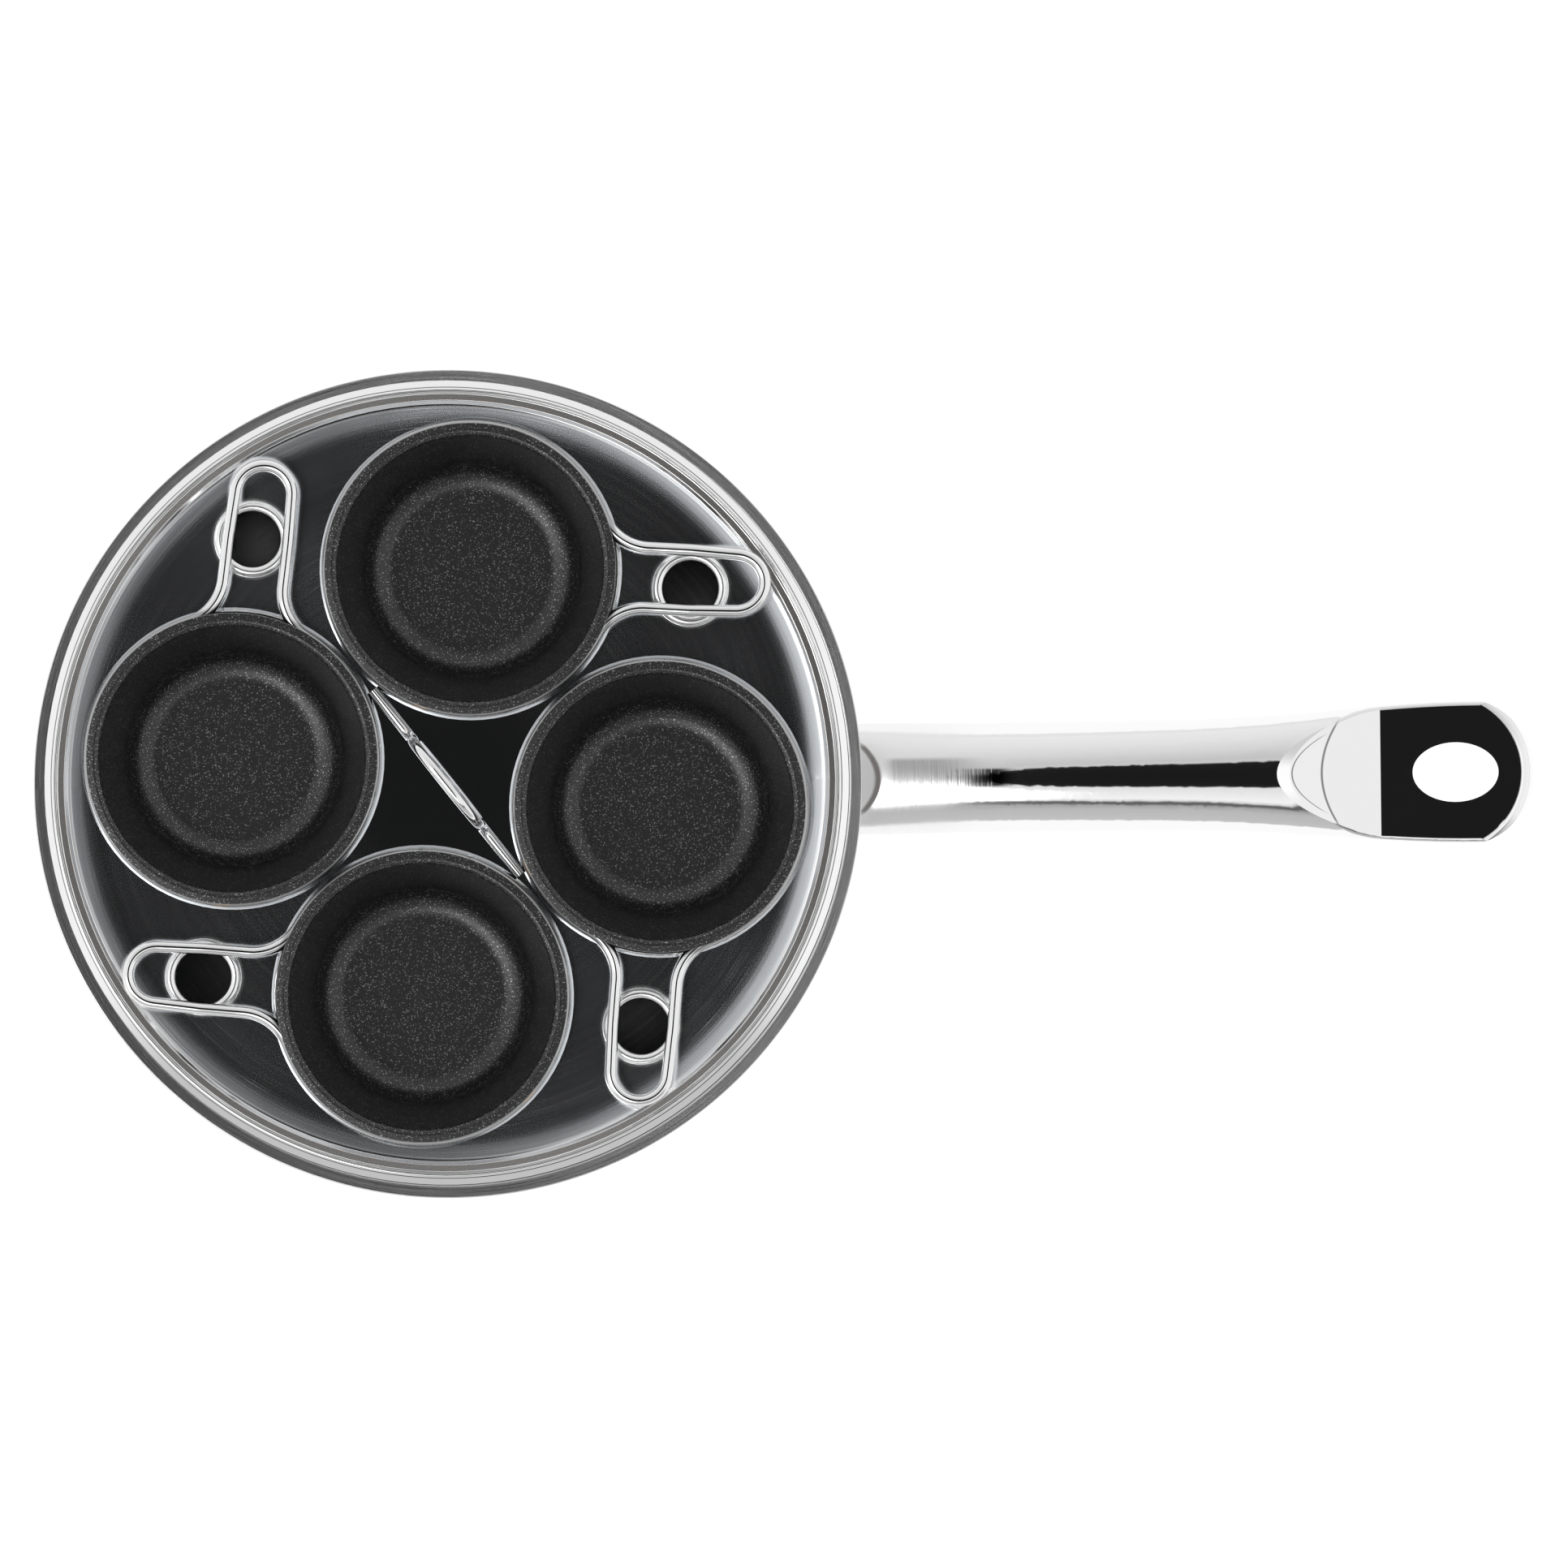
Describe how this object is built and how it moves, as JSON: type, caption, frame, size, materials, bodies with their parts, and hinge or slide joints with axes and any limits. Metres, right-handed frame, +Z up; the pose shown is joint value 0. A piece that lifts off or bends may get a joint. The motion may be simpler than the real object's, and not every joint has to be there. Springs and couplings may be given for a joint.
{
  "type": "egg poacher pan",
  "caption": "Round stainless steel egg poacher pan with a hollow flat-ended handle, a drop-in vented tray and coated egg cups that hang in wire handles.",
  "frame": {"origin": "centre of the pan's flat underside", "axes": "+X along the handle, from the pan to the hanging hole; +Z up, out of the pan's mouth"},
  "size_m": [0.3749, 0.2066, 0.0872],
  "materials": {
    "satin_steel": "satin, turned",
    "polished_steel": "mirror polished stainless steel",
    "tray_steel": "bright, with faint circular scratches",
    "wire_steel": "polished stainless wire",
    "nonstick_cup": "black non-stick coating with fine metallic flecks",
    "heat_core": "plain aluminium"
  },
  "bodies": {
    "pan": {"pan_body": "satin_steel", "base_core": "heat_core", "base_cap": "satin_steel", "handle_bracket": "satin_steel", "handle_top_shell": "polished_steel", "handle_bottom_shell": "polished_steel", "hanging_eyelet": "polished_steel"},
    "insert": {"poacher_tray": "tray_steel", "tray_lift_handle": "wire_steel"},
    "cup_set_1": {"cup_1": "nonstick_cup", "cup_handle_1": "wire_steel"},
    "cup_set_2": {"cup_2": "nonstick_cup", "cup_handle_2": "wire_steel"},
    "cup_set_3": {"cup_3": "nonstick_cup", "cup_handle_3": "wire_steel"},
    "cup_set_4": {"cup_4": "nonstick_cup", "cup_handle_4": "wire_steel"}
  },
  "joints": [
    {"name": "insert_lift", "type": "slide", "parent": "pan", "child": "insert", "axis": [0, 0, 1], "range_m": [0, 0.08]},
    {"name": "cup_1_lift", "type": "slide", "parent": "insert", "child": "cup_set_1", "axis": [0, 0, 1], "range_m": [0, 0.05]},
    {"name": "cup_2_lift", "type": "slide", "parent": "insert", "child": "cup_set_2", "axis": [0, 0, 1], "range_m": [0, 0.05]},
    {"name": "cup_3_lift", "type": "slide", "parent": "insert", "child": "cup_set_3", "axis": [0, 0, 1], "range_m": [0, 0.05]},
    {"name": "cup_4_lift", "type": "slide", "parent": "insert", "child": "cup_set_4", "axis": [0, 0, 1], "range_m": [0, 0.05]}
  ]
}
